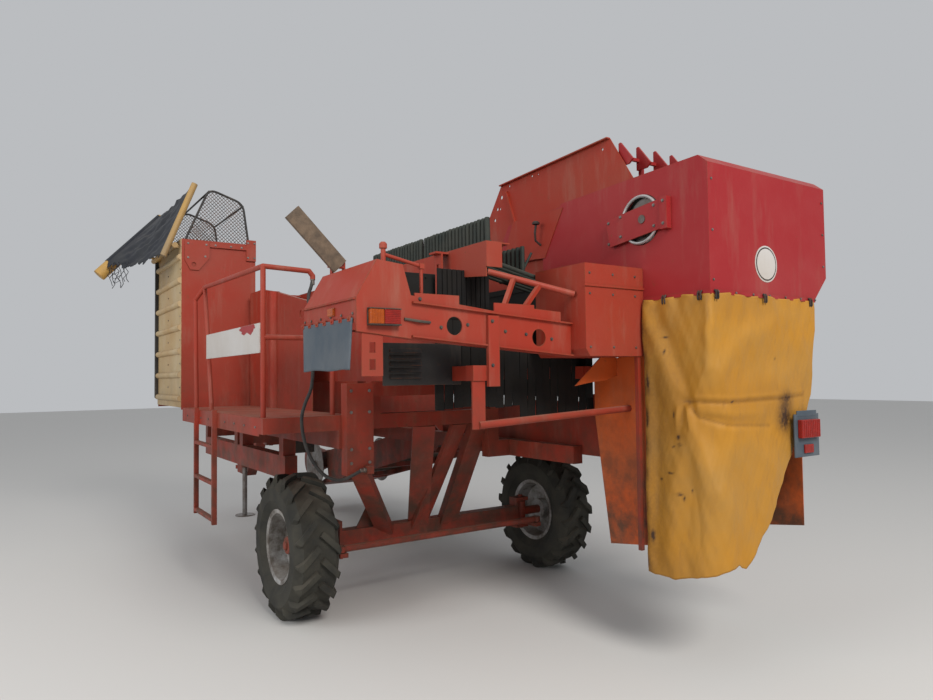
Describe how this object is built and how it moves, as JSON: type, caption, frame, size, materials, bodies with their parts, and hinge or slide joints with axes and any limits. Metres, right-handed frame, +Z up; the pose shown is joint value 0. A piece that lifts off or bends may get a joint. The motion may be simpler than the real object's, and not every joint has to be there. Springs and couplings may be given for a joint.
{
  "type": "trailed bunker potato harvester",
  "caption": "Trailed potato harvester: digging unit, sieving webs, ring elevator with curtain, picking platform and bunker with a folding unloading section.",
  "frame": {"origin": "middle of the bounding box, on the ground the wheels and the jack stand on", "axes": "+Y forward, towards the drawbar's eye; +X to the right; +Z up"},
  "size_m": [3.55, 6.98, 3.4702],
  "materials": {
    "red_paint": "faded orange-red paint, dusty, chipped and rusty at edges",
    "crimson_paint": "deeper red paint, fairly clean",
    "orange_paint": "bright orange-red paint, worn",
    "cream_paint": "cream paint over ribbed sheet, rust streaks",
    "white_paint": "off-white paint, dirty",
    "rim_paint": "silver-grey wheel paint with dust",
    "black_paint": "black paint",
    "tan_paint": "tan-yellow paint, dirty",
    "bare_steel": "soil-worn bare steel",
    "web_steel": "web rods, brown with soil",
    "gear_iron": "dark cast iron",
    "web_rubber": "dark grey-green rubber fingers and belts",
    "flap_rubber": "blue-grey rubber sheet",
    "tyre": "dusty tyre rubber",
    "curtain_cloth": "ochre-yellow coated tarpaulin",
    "tarp": "black coated cloth",
    "lamp_lens": "red and amber lamp lenses",
    "plank_wood": "weathered brown board",
    "hose_rubber": "black hydraulic hose, dusty"
  },
  "bodies": {
    "chassis": {"main_frame": "red_paint", "upper_frame": "red_paint", "axle_beam": "red_paint", "axle_legs": "red_paint", "platform": "red_paint", "ladder": "red_paint", "railing": "red_paint", "rail_panel": "white_paint", "rear_beam": "red_paint", "hood": "red_paint", "hood_flap": "flap_rubber", "lamp_left": "lamp_lens", "lamp_right": "lamp_lens", "chute_box": "red_paint", "elevator_housing": "crimson_paint", "elevator_casing": "orange_paint", "elevator_web": "web_rubber", "curtain": "curtain_cloth", "web_trough": "red_paint", "second_web": "web_steel", "deflector": "red_paint", "finger_combs": "web_rubber", "comb_beams": "red_paint", "picking_table": "web_rubber", "bunker": "red_paint", "bunker_floor": "web_steel", "gearbox": "gear_iron", "plank": "plank_wood", "side_wall": "red_paint", "cross_web": "web_rubber", "drive_guard": "red_paint", "hose": "hose_rubber"},
    "left_knuckle": {"knuckle_left": "red_paint"},
    "right_knuckle": {"knuckle_right": "red_paint"},
    "track_rod": {"tie_rod": "red_paint"},
    "left_wheel": {"rim_left": "rim_paint", "tyre_left": "tyre"},
    "right_wheel": {"rim_right": "rim_paint", "tyre_right": "tyre"},
    "top_roller": {"elevator_roller": "bare_steel"},
    "unloader": {"unload_walls": "red_paint", "unload_floor": "cream_paint", "unload_guard": "black_paint", "breaker_poles": "tan_paint", "breaker_cloth": "tarp"},
    "digger": {"dig_frame": "red_paint", "dig_web": "web_steel"},
    "left_coulter": {"coulter_left": "bare_steel"},
    "right_coulter": {"coulter_right": "bare_steel"},
    "roller": {"ridge_roller": "red_paint"},
    "drawbar": {"drawbar": "red_paint"},
    "jack": {"jack": "bare_steel"}
  },
  "joints": [
    {"name": "steer_left", "type": "hinge", "parent": "chassis", "child": "left_knuckle", "pos_m": [-0.545, -1.01, 0.49], "axis": [0, 0, 1], "range_deg": [-15, 15]},
    {"name": "steer_right", "type": "hinge", "parent": "chassis", "child": "right_knuckle", "pos_m": [1.195, -1.01, 0.49], "axis": [0, 0, 1], "range_deg": [-15, 15]},
    {"name": "track_rod_turn", "type": "hinge", "parent": "left_knuckle", "child": "track_rod", "pos_m": [-0.545, -1.22, 0.42], "axis": [0, 0, 1], "range_deg": [-15, 15]},
    {"name": "left_wheel_spin", "type": "hinge", "parent": "left_knuckle", "child": "left_wheel", "pos_m": [-0.795, -1.01, 0.49], "axis": [-1, 0, 0], "continuous": true},
    {"name": "right_wheel_spin", "type": "hinge", "parent": "right_knuckle", "child": "right_wheel", "pos_m": [1.445, -1.01, 0.49], "axis": [-1, 0, 0], "continuous": true},
    {"name": "top_roller_spin", "type": "hinge", "parent": "chassis", "child": "top_roller", "pos_m": [1.175, -2.97, 2.555], "axis": [1, 0, 0], "continuous": true},
    {"name": "unloader_fold", "type": "hinge", "parent": "chassis", "child": "unloader", "pos_m": [-0.635, 1.43, 1.3], "axis": [0, -1, 0], "range_deg": [0, 55]},
    {"name": "digger_lift", "type": "hinge", "parent": "chassis", "child": "digger", "pos_m": [1.22, -0.31, 1.1], "axis": [1, 0, 0], "range_deg": [-5, 0]},
    {"name": "left_coulter_spin", "type": "hinge", "parent": "digger", "child": "left_coulter", "pos_m": [0.765, 2.59588, 0.57281], "axis": [1, 0, 0], "continuous": true},
    {"name": "right_coulter_spin", "type": "hinge", "parent": "digger", "child": "right_coulter", "pos_m": [1.675, 2.59588, 0.57281], "axis": [1, 0, 0], "continuous": true},
    {"name": "roller_spin", "type": "hinge", "parent": "digger", "child": "roller", "pos_m": [1.22, 3.00813, 0.58026], "axis": [1, 0, 0], "continuous": true},
    {"name": "drawbar_swing", "type": "hinge", "parent": "chassis", "child": "drawbar", "pos_m": [0.075, 2.19, 1], "axis": [0, 0, 1], "range_deg": [-14, 14]},
    {"name": "jack_slide", "type": "slide", "parent": "drawbar", "child": "jack", "axis": [0, 0, 1], "range_m": [0, 0.35]}
  ],
  "couplings": [
    {"joint": "steer_right", "follows": "steer_left", "ratio": 1},
    {"joint": "track_rod_turn", "follows": "steer_left", "ratio": -1}
  ]
}
